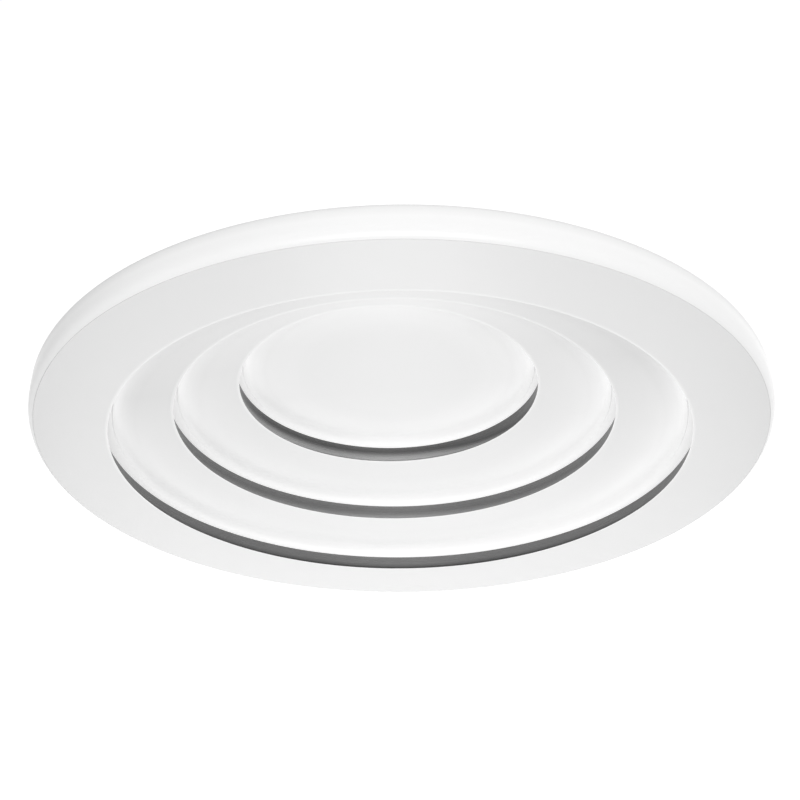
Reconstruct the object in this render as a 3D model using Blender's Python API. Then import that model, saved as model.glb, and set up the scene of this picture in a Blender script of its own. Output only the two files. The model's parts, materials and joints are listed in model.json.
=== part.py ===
"""Round LED ceiling light whose underside rises in three stepped, off-centre recesses.

Metres, +Z up. The ceiling is the plane z = 0 and the lamp hangs below it, so every z is negative.
A steel pan stays on the ceiling with the driver and the LED tray. The front, with its opal
panels, turns about the Z axis on a bayonet to come off the pan.
"""

import math

import bmesh
import bpy

# Driving dimensions of the front.
DEPTH = 0.090              # ceiling to the lowest face
FACE_RADIUS = 0.250        # outer edge of the flat underside
STEP = 0.013               # each recess rises by this much
LIP_RADIUS_DROP = 0.050    # each lip is this much smaller than the one around it
FIRST_SHIFT = 0.006        # shift of the first lip's centre towards -Y
SHIFT_STEP = 0.025         # further shift of each next lip
TIERS = (1, 2, 3)          # the three recesses, from the outside in
TIER_SEGMENTS = (60, 60, 48, 40)

# Sheet and gap thicknesses.
GAP = 0.0003               # clearance kept between touching pieces
STEEL = 0.0012
OPAL = 0.002
BAND = 0.001
RING_BEVEL = 0.0008

# Grey trim band of each recess. It stands on the back of the plate around it.
BAND_SETBACK = (0.0, 0.0065, 0.005, 0.003)  # by tier: how far the band stands behind the lip
SPACER_INSET = 0.0035      # gap between a band's wall and its spacer ring's inside
BAND_FLANGE = 0.009        # width of the band's foot, outwards from its wall
LIP_EDGE = 0.001           # visible thickness of a plate's edge, before its back is bevelled

# Opal panels. The lit field stands a little lower than the border around it.
FIELD_INSET = 0.0012       # the field's edge lies this far inside the lip
FIELD_DROP = 0.0004
FIELD_BEVEL = 0.0004

# Screws.
HOLE_RADIUS = 0.0014
SHANK_RADIUS = 0.0011
HEAD_RADIUS = 0.0026
HEAD_HEIGHT = 0.0018

# Opal rim around the outside.
RIM_HEIGHT = 0.0205
RIM_BULGE = 0.0043
RIM_PEAK = 0.8             # height fraction of the widest point
RIM_POWER = 5.0
RIM_RETURN = 0.240         # inner radius of its top flange

# Pan on the ceiling and the bayonet.
PAN_RADIUS = 0.168
PAN_DEPTH = 0.034
PAN_CORNER = 0.004
COLLAR_INNER = 0.175
COLLAR_TOP = -0.020
COLLAR_BOTTOM = -0.038
SLEEVE_TOP = -0.0335
CONE_FOOT = 0.232
FRAME_EDGE = 0.246
CARRIER = (0.2405, 0.2445)  # inner and outer radius of the ring inside the rim
FRAME_SCREW_ANGLES = (90.0, 210.0, 330.0)
LUG_ANGLES = (30.0, 150.0, 270.0)
LUG_WIDTH = 11.0           # degrees
LUG_TOP = -0.0315
LUG_BOTTOM = -0.0335
TAB_LIFT = 0.0006          # the front's tabs hang this far above the lugs
LUG_REACH = 0.1725         # outer radius of the pan's lugs
TAB_REACH = 0.170          # inner radius of the front's tabs
TAB_HEIGHT = 0.0016
SPRING_END = 0.1695        # y of the leaf spring's two ends and of its crest
SPRING_CREST = 0.1728
SPRING_Z = (-0.0285, -0.0235)

# Supply side, on the pan.
CABLE_HOLE_Y = 0.062
CABLE_HOLE_RADIUS = 0.012
GROMMET_BORE = 0.007
GROMMET_FLANGE = 0.015
GROMMET_TOP = -0.0002
GROMMET_LOW = -0.0035
CLAMP_Y = 0.081
CLAMP_BORE = 0.005
CLAMP_HALF_LENGTH = 0.013
CLAMP_HALF_WIDTH = 0.004
CLAMP_FOOT = -0.0040       # underside of the clamp's ears
CLAMP_CREST = -0.0095
CLAMP_SCREW_X = 0.0104
SLOTS = ((-0.110, 0.020), (0.110, 0.020), (-0.045, -0.110), (0.045, -0.110))
SLOT_HALF_LENGTH = 0.007
SLOT_RADIUS = 0.0026
BLOCK_Y = (0.094, 0.116)
BLOCK_HALF_WIDTH = 0.018
BLOCK_TOP = -0.0015
BLOCK_BOTTOM = -0.0178
BUTTON_X = (-0.010, 0.0, 0.010)
BUTTON_Y = 0.105
BUTTON_SIZE = (0.005, 0.008)
BUTTON_TOP = -0.0152
BUTTON_BOTTOM = -0.0200
POCKET_TOP = -0.0130
FLOOR = -STEEL - GAP       # first free height under the pan's floor
LEAD_RADIUS = 0.0011
LEAD_GAP = 0.0006          # a lead's end stops this far from the face it enters
EARTH_SCREW = (0.046, 0.112)

# Driver.
DRIVER_X = 0.080
DRIVER_Y = (-0.080, -0.040)
DRIVER_SPLIT = -0.0150
DRIVER_BOTTOM = -0.0240
DRIVER_WALL = 0.0018
EAR_SHIFT = 0.012
OUTPUT_RADIUS = 0.0018

# LED tray and its boards.
TRAY_TOP = -0.0270
TRAY_RADIUS = 0.162
TRAY_BOTTOM = TRAY_TOP - STEEL
STANDOFF_RING = 0.1435
STANDOFF_ANGLES = (35.0, 155.0, 275.0)
WINDOW_HALF_WIDTH = 0.022
WINDOW_Y = (0.094, 0.114)
LEAD_HOLE = (0.138, -0.010)
BOARD = 0.0016
BOARD_STEPS = 28
STRIP_HALF_WIDTH = 0.002
STRIP_HEIGHT = 0.0009
# name, centre y, inner radius, outer radius, start and end angle in degrees
LED_BOARDS = (
    ("inner", -0.050, 0.058, 0.074, 0.0, 357.0),
    ("middle", -0.010, 0.118, 0.130, 110.0, 430.0),
    ("outer", 0.0, 0.147, 0.159, 5.0, 355.0),
)

# Hinged cover over the terminal window.
PIN_Y = 0.0908
PIN_Z = -0.0307
PIN_RADIUS = 0.001
CLIP_INNER = 0.00125
CLIP_OUTER = 0.0022
COVER_TIP_Y = 0.1160
COVER_HALF_WIDTH = 0.0235
BRACKET_WIDTH = 0.003


def face_z(tier):
    """Height of the flat face inside lip number tier; tier 0 is the outer ring's underside."""
    return -DEPTH + tier * STEP


def lip_radius(tier):
    return FACE_RADIUS - tier * LIP_RADIUS_DROP


def lip_centre(tier):
    """Y of a lip's centre. The outer edge is centred, and each lip sits further towards -Y."""
    if tier == 0:
        return 0.0
    return -(FIRST_SHIFT + (tier - 1) * SHIFT_STEP)


def band_radius(tier):
    return lip_radius(tier) + BAND_SETBACK[tier]


def band_span(tier):
    """Lowest and highest z of a band: from the plate's back to the next panel's border."""
    return face_z(tier - 1) + OPAL + GAP, face_z(tier) + FIELD_DROP - GAP


def polar(radius, degrees, centre_y=0.0):
    angle = math.radians(degrees)
    return radius * math.cos(angle), centre_y + radius * math.sin(angle)


# --- materials -------------------------------------------------------------------------------

def material(name, colour, roughness, metallic=0.0):
    made = bpy.data.materials.new(name)
    made.use_nodes = True
    shader = made.node_tree.nodes["Principled BSDF"]
    shader.inputs["Base Color"].default_value = (*colour, 1.0)
    shader.inputs["Roughness"].default_value = roughness
    shader.inputs["Metallic"].default_value = metallic
    return made


def make_materials():
    return {
        "paint": material("white_paint", (0.82, 0.82, 0.82), 0.42),
        "opal": material("opal_acrylic", (0.90, 0.90, 0.89), 0.30),
        "band": material("grey_trim", (0.20, 0.20, 0.21), 0.38, 0.6),
        "steel": material("galvanised_steel", (0.58, 0.60, 0.61), 0.38, 1.0),
        "moulded": material("white_moulding", (0.78, 0.78, 0.76), 0.55),
        "button": material("orange_moulding", (0.86, 0.30, 0.05), 0.45),
        "rubber": material("black_rubber", (0.03, 0.03, 0.03), 0.75),
        "board": material("white_board", (0.86, 0.87, 0.86), 0.35),
        "circuit": material("green_board", (0.05, 0.25, 0.10), 0.45),
        "led": material("led_phosphor", (0.93, 0.78, 0.28), 0.35),
        "dark": material("dark_component", (0.05, 0.05, 0.06), 0.50),
        "brown": material("brown_sleeve", (0.20, 0.08, 0.03), 0.50),
        "blue": material("blue_sleeve", (0.04, 0.12, 0.45), 0.50),
        "green": material("green_yellow_sleeve", (0.20, 0.45, 0.05), 0.50),
        "white": material("white_sleeve", (0.75, 0.75, 0.75), 0.50),
    }


# --- mesh helpers ----------------------------------------------------------------------------

def finish(name, bm, mat, smooth_angle=30.0):
    """Turn a bmesh into a named object with outward faces."""
    bmesh.ops.recalc_face_normals(bm, faces=bm.faces)
    mesh = bpy.data.meshes.new(name)
    bm.to_mesh(mesh)
    bm.free()
    mesh.shade_smooth()
    mesh.set_sharp_from_angle(angle=math.radians(smooth_angle))
    made = bpy.data.objects.new(name, mesh)
    made.data.materials.append(mat)
    bpy.context.scene.collection.objects.link(made)
    return made


def circle(bm, radius, z, centre, segments):
    x0, y0 = centre
    step = 2.0 * math.pi / segments
    return [
        bm.verts.new((x0 + radius * math.cos(i * step), y0 + radius * math.sin(i * step), z))
        for i in range(segments)
    ]


def bridge(bm, first, second):
    """Faces between two loops of equal length."""
    count = len(first)
    for i in range(count):
        j = (i + 1) % count
        bm.faces.new((first[i], first[j], second[j], second[i]))


def fan(bm, loop):
    """Close a loop with triangles to its middle."""
    x = sum(v.co.x for v in loop) / len(loop)
    y = sum(v.co.y for v in loop) / len(loop)
    hub = bm.verts.new((x, y, loop[0].co.z))
    for i, vert in enumerate(loop):
        bm.faces.new((vert, loop[(i + 1) % len(loop)], hub))


def ring_solid(name, section, segments, mat):
    """Ring whose cross-section is a closed list of (radius, z, centre y)."""
    bm = bmesh.new()
    loops = [circle(bm, radius, z, (0.0, y), segments) for radius, z, y in section]
    for i, loop in enumerate(loops):
        bridge(bm, loop, loops[(i + 1) % len(loops)])
    return finish(name, bm, mat)


def dish_solid(name, section, segments, mat):
    """Solid of revolution closed by a flat disc at its first and last circle."""
    bm = bmesh.new()
    loops = [circle(bm, radius, z, (0.0, y), segments) for radius, z, y in section]
    for first, second in zip(loops, loops[1:]):
        bridge(bm, first, second)
    fan(bm, loops[0])
    fan(bm, loops[-1])
    return finish(name, bm, mat)


def add_turned(bm, centre, profile, segments=6):
    """Add a small turned body: (radius, z) circles in order, closed at both ends."""
    loops = [circle(bm, radius, z, centre, segments) for radius, z in profile]
    for first, second in zip(loops, loops[1:]):
        bridge(bm, first, second)
    bm.faces.new(loops[0])
    bm.faces.new(loops[-1])


def add_box(bm, low, high):
    corners = [
        bm.verts.new((x, y, z))
        for z in (low[2], high[2])
        for x, y in ((low[0], low[1]), (high[0], low[1]), (high[0], high[1]), (low[0], high[1]))
    ]
    bridge(bm, corners[:4], corners[4:])
    bm.faces.new(corners[:4])
    bm.faces.new(corners[4:])


def add_prism(bm, outline, place_low, place_high):
    """Extrude an outline of 2-D points between the two placings."""
    low = [bm.verts.new(place_low(a, b)) for a, b in outline]
    high = [bm.verts.new(place_high(a, b)) for a, b in outline]
    bridge(bm, low, high)
    bm.faces.new(low)
    bm.faces.new(high)


def add_prism_x(bm, outline, x_low, x_high):
    """Extrude a (y, z) outline along X."""
    add_prism(bm, outline, lambda y, z: (x_low, y, z), lambda y, z: (x_high, y, z))


def add_prism_y(bm, outline, y_low, y_high):
    """Extrude an (x, z) outline along Y."""
    add_prism(bm, outline, lambda x, z: (x, y_low, z), lambda x, z: (x, y_high, z))


def add_prism_z(bm, outline, z_low, z_high):
    """Extrude an (x, y) outline along Z."""
    add_prism(bm, outline, lambda x, y: (x, y, z_low), lambda x, y: (x, y, z_high))


def arc_points(radius, start, end, steps, centre=(0.0, 0.0)):
    """Points on an arc, angles in degrees, both ends included."""
    points = []
    for i in range(steps + 1):
        angle = math.radians(start + (end - start) * i / steps)
        points.append((centre[0] + radius * math.cos(angle), centre[1] + radius * math.sin(angle)))
    return points


def add_arc(bm, inner, outer, start, end, steps, z_low, z_high, centre_y=0.0):
    """Add a flat arc-shaped piece as one quad strip between its two radii."""
    rows = []
    for radius, z in ((inner, z_low), (outer, z_low), (outer, z_high), (inner, z_high)):
        points = arc_points(radius, start, end, steps, (0.0, centre_y))
        rows.append([bm.verts.new((x, y, z)) for x, y in points])
    for i, row in enumerate(rows):
        other = rows[(i + 1) % 4]
        for j in range(steps):
            bm.faces.new((row[j], row[j + 1], other[j + 1], other[j]))
    bm.faces.new([row[0] for row in rows])
    bm.faces.new([row[-1] for row in rows])


def combine(target, operation, add_bodies):
    """Boolean of the target with the bodies that add_bodies makes."""
    bm = bmesh.new()
    add_bodies(bm)
    bmesh.ops.recalc_face_normals(bm, faces=bm.faces)
    label = "_".join((target.name, operation.lower(), str(len(target.modifiers))))
    mesh = bpy.data.meshes.new(label)
    bm.to_mesh(mesh)
    bm.free()
    tool = bpy.data.objects.new(label, mesh)
    bpy.context.scene.collection.objects.link(tool)
    tool.hide_render = True
    tool.display_type = "WIRE"
    modifier = target.modifiers.new(label, "BOOLEAN")
    modifier.operation = operation
    modifier.solver = "EXACT"
    modifier.object = tool


def cut(target, add_bodies):
    combine(target, "DIFFERENCE", add_bodies)


def join(target, add_bodies):
    combine(target, "UNION", add_bodies)


def catmull_rom(points, per_span):
    """Smooth curve through the given points."""
    ends = [points[0]] + list(points) + [points[-1]]
    curve = []
    for a, b, c, d in zip(ends, ends[1:], ends[2:], ends[3:]):
        for i in range(per_span):
            t = i / per_span
            curve.append(tuple(
                0.5 * (2 * q + (r - p) * t + (2 * p - 5 * q + 4 * r - s) * t ** 2
                       + (3 * q - p - 3 * r + s) * t ** 3)
                for p, q, r, s in zip(a, b, c, d)
            ))
    curve.append(points[-1])
    return curve


def lead(name, route, mat, radius=LEAD_RADIUS, per_span=3):
    """Insulated lead: a tube along a smooth curve through the route."""
    data = bpy.data.curves.new(name, "CURVE")
    data.dimensions = "3D"
    data.bevel_depth = radius
    data.bevel_resolution = 2
    data.use_fill_caps = True
    points = catmull_rom(route, per_span)
    spline = data.splines.new("POLY")
    spline.points.add(len(points) - 1)
    for point, place in zip(spline.points, points):
        point.co = (*place, 1.0)
    data.materials.append(mat)
    made = bpy.data.objects.new(name, data)
    bpy.context.scene.collection.objects.link(made)
    return made


# --- front: rings, panels and bands ----------------------------------------------------------

def lip_section(tier):
    """Edge of the hole in the plate below a tier, from its face to its bevelled back."""
    radius = lip_radius(tier)
    low = face_z(tier - 1)
    y = lip_centre(tier)
    return [(radius, low, y), (radius, low + LIP_EDGE, y), (radius + OPAL - LIP_EDGE, low + OPAL, y)]


def make_face_ring(mats):
    """Painted flat ring, with its round hole off-centre."""
    low = face_z(0)
    outside = [(FACE_RADIUS, low + OPAL, 0.0), (FACE_RADIUS, low + RING_BEVEL, 0.0),
               (FACE_RADIUS - RING_BEVEL, low, 0.0)]
    return ring_solid("face_ring", lip_section(1) + outside, TIER_SEGMENTS[0], mats["paint"])


def rim_radius(fraction):
    """Outside radius of the rim at a fraction of its height."""
    if fraction < RIM_PEAK:
        reach = (RIM_PEAK - fraction) / RIM_PEAK
    else:
        reach = (fraction - RIM_PEAK) / (1.0 - RIM_PEAK) * 0.8
    return FACE_RADIUS + RIM_BULGE * (1.0 - reach ** RIM_POWER)


def make_rim(mats):
    """Opal rim: a C-section whose bulging wall glows around the outside."""
    low = face_z(0) + OPAL + GAP
    outside = []
    for fraction in (0.13, 0.25, 0.4, 0.6, 0.8, 0.93, 1.0):
        z = face_z(0) + fraction * RIM_HEIGHT
        outside.append((rim_radius(fraction), z, 0.0))
    top = face_z(0) + RIM_HEIGHT
    section = [(FACE_RADIUS + GAP, face_z(0) + 0.0006, 0.0)] + outside + [
        (RIM_RETURN, top, 0.0),
        (RIM_RETURN, top - OPAL, 0.0),
        (FACE_RADIUS + RIM_BULGE - OPAL, top - OPAL, 0.0),
        (FACE_RADIUS + RIM_BULGE - OPAL, low + 0.004, 0.0),
        (FACE_RADIUS - 0.001, low + OPAL, 0.0),
        (RIM_RETURN, low + OPAL, 0.0),
        (RIM_RETURN, low, 0.0),
        (FACE_RADIUS + GAP, low, 0.0),
    ]
    return ring_solid("rim_diffuser", section, TIER_SEGMENTS[0], mats["opal"])


def make_band(tier, name, mats):
    """Grey trim band: the recess's dark wall, with a foot on the plate's back."""
    inner = band_radius(tier)
    low, high = band_span(tier)
    y = lip_centre(tier)
    section = (
        (inner, low, y),
        (inner + BAND_FLANGE, low, y),
        (inner + BAND_FLANGE, low + BAND, y),
        (inner + BAND, low + BAND, y),
        (inner + BAND, high, y),
        (inner, high, y),
    )
    return ring_solid(name, section, TIER_SEGMENTS[tier], mats["band"])


def make_panel(tier, name, mats):
    """Opal panel of one tier, with the next recess's hole, or whole in the middle."""
    y = lip_centre(tier)
    face = face_z(tier)
    field = lip_radius(tier) - FIELD_INSET
    edge = band_radius(tier) + BAND_FLANGE
    rim = [
        (field - FIELD_BEVEL, face, y),
        (field, face + FIELD_DROP, y),
        (edge, face + FIELD_DROP, y),
        (edge, face + OPAL, y),
    ]
    if tier == TIERS[-1]:
        return dish_solid(name, rim, TIER_SEGMENTS[tier], mats["opal"])
    hole = lip_section(tier + 1)[::-1]
    return ring_solid(name, rim + hole, TIER_SEGMENTS[tier], mats["opal"])


def make_spacer(tier, name, mats):
    """Moulded ring that stands on the band's foot and carries the next panel."""
    low, high = band_span(tier)
    low += BAND + GAP
    inner = band_radius(tier) + SPACER_INSET
    outer = band_radius(tier) + BAND_FLANGE
    y = lip_centre(tier)
    section = ((inner, low, y), (outer, low, y), (outer, high, y), (inner, high, y))
    return ring_solid(name, section, TIER_SEGMENTS[tier], mats["moulded"])


def add_hole(bm, place, low, high, radius=HOLE_RADIUS):
    add_turned(bm, place, ((radius, low), (radius, high)), 8)


def screw(name, place, seat, length, mats, direction=1.0):
    """Screw whose head stands on the seat, on the side given by direction."""
    head = seat + direction * HEAD_HEIGHT
    tip = seat - direction * length
    profile = ((HEAD_RADIUS, head), (HEAD_RADIUS, seat), (SHANK_RADIUS, seat), (SHANK_RADIUS, tip))
    bm = bmesh.new()
    add_turned(bm, place, profile, 8)
    return finish(name, bm, mats["steel"])


def make_front_frame(mats):
    """White steel cone behind the panels, with a sleeve around the collar."""
    foot = face_z(0) + RIM_HEIGHT + GAP
    sleeve = COLLAR_INNER + STEEL + GAP
    section = (
        (sleeve, SLEEVE_TOP, 0.0),
        (sleeve + STEEL, SLEEVE_TOP, 0.0),
        (sleeve + STEEL, COLLAR_BOTTOM + STEEL, 0.0),
        (CONE_FOOT, foot + STEEL, 0.0),
        (FRAME_EDGE, foot + STEEL, 0.0),
        (FRAME_EDGE, foot, 0.0),
        (CONE_FOOT - STEEL, foot, 0.0),
        (sleeve, COLLAR_BOTTOM, 0.0),
    )
    return ring_solid("front_frame", section, TIER_SEGMENTS[0], mats["paint"])


def make_collar(mats):
    """Collar that turns on the pan. Tabs inside it rest on the pan's lugs."""
    outer = COLLAR_INNER + STEEL
    section = ((COLLAR_INNER, COLLAR_TOP, 0.0), (outer, COLLAR_TOP, 0.0),
               (outer, COLLAR_BOTTOM, 0.0), (COLLAR_INNER, COLLAR_BOTTOM, 0.0))
    collar = ring_solid("bayonet_collar", section, TIER_SEGMENTS[0], mats["paint"])
    low = LUG_TOP + TAB_LIFT
    join(collar, lambda bm: add_arcs(bm, TAB_REACH, COLLAR_INNER + STEEL / 2.0, low, low + TAB_HEIGHT))


def add_arcs(bm, inner, outer, low, high):
    """Add one flat arc at each bayonet place."""
    for angle in LUG_ANGLES:
        start = angle - LUG_WIDTH / 2.0
        add_arc(bm, inner, outer, start, start + LUG_WIDTH, 3, low, high)


def make_rim_carrier(mats):
    """Moulded ring inside the rim, between the face ring and the frame."""
    low = face_z(0) + OPAL + GAP + OPAL + GAP
    high = face_z(0) + RIM_HEIGHT - OPAL - GAP
    section = ((CARRIER[0], low, 0.0), (CARRIER[1], low, 0.0), (CARRIER[1], high, 0.0),
               (CARRIER[0], high, 0.0))
    carrier = ring_solid("rim_carrier", section, TIER_SEGMENTS[0], mats["moulded"])
    return carrier, high


def make_frame_fixings(rim, frame, mats):
    """Carrier ring and the three screws that hold frame and rim on it."""
    carrier, high = make_rim_carrier(mats)
    seat = face_z(0) + RIM_HEIGHT + GAP + STEEL + GAP
    places = [polar(sum(CARRIER) / 2.0, angle) for angle in FRAME_SCREW_ANGLES]

    def holes(bm):
        for place in places:
            add_hole(bm, place, high - 0.006, seat + 0.001)

    for drilled in (rim, frame, carrier):
        cut(drilled, holes)
    for number, place in enumerate(places, 1):
        screw(f"frame_screw_{number}", place, seat, 0.0075, mats)


# --- pan on the ceiling ----------------------------------------------------------------------

def slot_outline(x, y, half_length, radius):
    """Slot with round ends, long in X."""
    right = arc_points(radius, -90.0, 90.0, 6, (x + half_length, y))
    left = arc_points(radius, 90.0, 270.0, 6, (x - half_length, y))
    return right + left


def make_pan(mats):
    """Shallow steel pan with its back flat on the ceiling and bayonet lugs on its skirt."""
    inner = PAN_RADIUS - STEEL
    section = (
        (PAN_RADIUS - PAN_CORNER, 0.0, 0.0),
        (PAN_RADIUS - 0.0012, -0.0012, 0.0),
        (PAN_RADIUS, -PAN_CORNER, 0.0),
        (PAN_RADIUS, -PAN_DEPTH, 0.0),
        (inner, -PAN_DEPTH, 0.0),
        (inner, -PAN_CORNER, 0.0),
        (inner - PAN_CORNER, -STEEL, 0.0),
    )
    pan = dish_solid("ceiling_pan", section, TIER_SEGMENTS[0], mats["paint"])

    def openings(bm):
        add_turned(bm, (0.0, CABLE_HOLE_Y), ((CABLE_HOLE_RADIUS, -0.01), (CABLE_HOLE_RADIUS, 0.01)), 20)
        for x, y in SLOTS:
            add_prism_z(bm, slot_outline(x, y, SLOT_HALF_LENGTH, SLOT_RADIUS), -0.01, 0.01)

    skirt = PAN_RADIUS - STEEL / 2.0
    join(pan, lambda bm: add_arcs(bm, skirt, LUG_REACH, LUG_BOTTOM, LUG_TOP))
    cut(pan, openings)


def make_lock_spring(mats):
    """Leaf spring that holds the front at the locked end of its turn."""
    crest = PAN_RADIUS + 2.0 * GAP
    bow = [(0.013, SPRING_END), (0.004, SPRING_CREST), (-0.004, SPRING_CREST), (-0.013, SPRING_END)]
    outline = [(x, max(y, crest)) for x, y in bow]
    outline += [(x, max(y - 0.0008, crest - 0.0006)) for x, y in bow[::-1]]
    bm = bmesh.new()
    add_prism_z(bm, outline, SPRING_Z[0], SPRING_Z[1])
    return finish("lock_spring", bm, mats["steel"])


def make_grommet(mats):
    """Rubber grommet in the cable hole, with its flange inside the pan."""
    neck = CABLE_HOLE_RADIUS - GAP
    centre = (0.0, CABLE_HOLE_Y)
    section = ((neck, GROMMET_TOP), (neck, FLOOR), (GROMMET_FLANGE, FLOOR), (GROMMET_FLANGE, GROMMET_LOW),
               (GROMMET_BORE, GROMMET_LOW), (GROMMET_BORE, GROMMET_TOP))
    bm = bmesh.new()
    loops = [circle(bm, radius, z, centre, 20) for radius, z in section]
    for i, loop in enumerate(loops):
        bridge(bm, loop, loops[(i + 1) % len(loops)])
    return finish("cable_grommet", bm, mats["rubber"])


def make_clamp(mats):
    """Saddle that holds the supply cable down, with its two screws."""
    half = CLAMP_HALF_LENGTH
    foot = CLAMP_FOOT
    arch = arc_points(CLAMP_BORE, 180.0, 360.0, 8, (0.0, FLOOR - 0.0005))
    outline = [(-half, FLOOR), (-half, foot), (-0.0075, foot), (-0.0060, CLAMP_CREST),
               (0.0060, CLAMP_CREST), (0.0075, foot), (half, foot), (half, FLOOR), (CLAMP_BORE, FLOOR)]
    outline += arch[::-1] + [(-CLAMP_BORE, FLOOR)]
    bm = bmesh.new()
    add_prism_y(bm, outline, CLAMP_Y - CLAMP_HALF_WIDTH, CLAMP_Y + CLAMP_HALF_WIDTH)
    clamp = finish("cable_clamp", bm, mats["moulded"])
    places = [(-CLAMP_SCREW_X, CLAMP_Y), (CLAMP_SCREW_X, CLAMP_Y)]

    def holes(cutter):
        for place in places:
            add_hole(cutter, place, -0.006, 0.0)

    cut(clamp, holes)
    for side, place in zip(("left", "right"), places):
        screw(f"clamp_screw_{side}", place, foot - GAP, 0.0025, mats, -1.0)


def make_terminal(mats):
    """Three-pole terminal block with a pocket for each release button."""
    low = (-BLOCK_HALF_WIDTH, BLOCK_Y[0], BLOCK_BOTTOM)
    high = (BLOCK_HALF_WIDTH, BLOCK_Y[1], BLOCK_TOP)
    bm = bmesh.new()
    add_box(bm, low, high)
    block = finish("terminal_block", bm, mats["moulded"])
    half_x = BUTTON_SIZE[0] / 2.0 + GAP
    half_y = BUTTON_SIZE[1] / 2.0 + GAP

    def pockets(cutter):
        for x in BUTTON_X:
            add_box(cutter, (x - half_x, BUTTON_Y - half_y, BLOCK_BOTTOM - 0.002),
                    (x + half_x, BUTTON_Y + half_y, POCKET_TOP))
            for y_low, y_high in ((BLOCK_Y[0] - 0.002, BLOCK_Y[0] + 0.005),
                                  (BLOCK_Y[1] - 0.004, BLOCK_Y[1] + 0.002)):
                add_prism_y(cutter, arc_points(0.0015, 0.0, 315.0, 7, (x, -0.0085)), y_low, y_high)

    cut(block, pockets)
    for x, pole in zip(BUTTON_X, ("live", "neutral", "earth")):
        button = bmesh.new()
        add_box(button, (-BUTTON_SIZE[0] / 2.0, -BUTTON_SIZE[1] / 2.0, BUTTON_BOTTOM - BUTTON_TOP),
                (BUTTON_SIZE[0] / 2.0, BUTTON_SIZE[1] / 2.0, 0.0))
        made = finish(pole + "_release_button", button, mats["button"])
        made.location = (x, BUTTON_Y, BUTTON_TOP)


def make_leads(mats):
    """Mains leads from the terminal to the driver, the earth lead and the LED leads."""
    start_y = BLOCK_Y[1] + LEAD_GAP
    end_x = -DRIVER_X - LEAD_GAP
    level = -0.0085
    live_x, neutral_x, earth_x = BUTTON_X
    lead("live_lead", [
        (live_x, start_y, level), (live_x - 0.004, 0.124, level), (-0.045, 0.122, level),
        (-0.088, 0.092, level), (-0.122, 0.040, level), (-0.120, -0.020, level),
        (-0.102, -0.050, level), (end_x, -0.055, level)], mats["brown"])
    lead("neutral_lead", [
        (neutral_x, start_y, level), (neutral_x - 0.004, 0.127, level), (-0.047, 0.127, level),
        (-0.092, 0.096, level), (-0.127, 0.042, level), (-0.125, -0.024, level),
        (-0.104, -0.060, level), (end_x, -0.063, level)], mats["blue"])
    lead("earth_lead", [
        (earth_x, start_y, level), (earth_x + 0.003, 0.124, level), (0.030, 0.128, -0.007),
        (0.043, 0.124, -0.0045), (EARTH_SCREW[0], EARTH_SCREW[1] + 0.0055, -0.0036)],
        mats["green"])
    hole_x, hole_y = LEAD_HOLE
    lead("output_lead", [
        (DRIVER_X + LEAD_GAP, -0.060, -0.012), (0.094, -0.060, -0.012), (0.116, -0.040, -0.014),
        (0.132, -0.014, -0.0165), (hole_x, hole_y, -0.023), (hole_x, hole_y, -0.029),
        (hole_x - 0.001, hole_y - 0.006, -0.0325), (0.1360, -0.0203, -0.0325)],
        mats["white"], OUTPUT_RADIUS)


def make_earth_screw(mats):
    """Earth screw on the pan, over the lead's ring tag."""
    bm = bmesh.new()
    add_turned(bm, EARTH_SCREW, ((0.0042, FLOOR), (0.0042, -0.0025), (0.0030, -0.0025),
                                 (0.0030, -0.0050)), 10)
    return finish("earth_screw", bm, mats["steel"])


# --- driver ----------------------------------------------------------------------------------

def add_open_box(bm, low, high, wall, open_z):
    """Box shell with one open side, at the height open_z."""
    closed_z = high[2] if open_z == low[2] else low[2]
    inner_z = closed_z + math.copysign(wall, open_z - closed_z)

    def rectangle(inset, z):
        xs = (low[0] + inset, high[0] - inset)
        ys = (low[1] + inset, high[1] - inset)
        return [bm.verts.new((xs[i], ys[j], z)) for i, j in ((0, 0), (1, 0), (1, 1), (0, 1))]

    loops = [rectangle(0.0, closed_z), rectangle(0.0, open_z), rectangle(wall, open_z),
             rectangle(wall, inner_z)]
    for first, second in zip(loops, loops[1:]):
        bridge(bm, first, second)
    bm.faces.new(loops[0])
    bm.faces.new(loops[-1])


def fix_driver(base, mats):
    """Ears at the driver's ends, each with its screw."""
    middle = (DRIVER_Y[0] + DRIVER_Y[1]) / 2.0
    ear_low = FLOOR - 0.002
    reach = DRIVER_X + 0.012
    places = [(side * (DRIVER_X + 0.006), middle + side * EAR_SHIFT) for side in (-1.0, 1.0)]

    def ears(bm):
        for side, place in zip((-1.0, 1.0), places):
            near, far = sorted((side * (DRIVER_X - DRIVER_WALL / 2.0), side * reach))
            add_box(bm, (near, place[1] - 0.005, ear_low), (far, place[1] + 0.005, FLOOR - 0.0001))

    def holes(bm):
        for place in places:
            add_hole(bm, place, ear_low - 0.001, 0.0)

    join(base, ears)
    cut(base, holes)
    for label, place in zip(("left", "right"), places):
        screw(f"driver_screw_{label}", place, ear_low - GAP, 0.0018, mats, -1.0)


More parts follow.
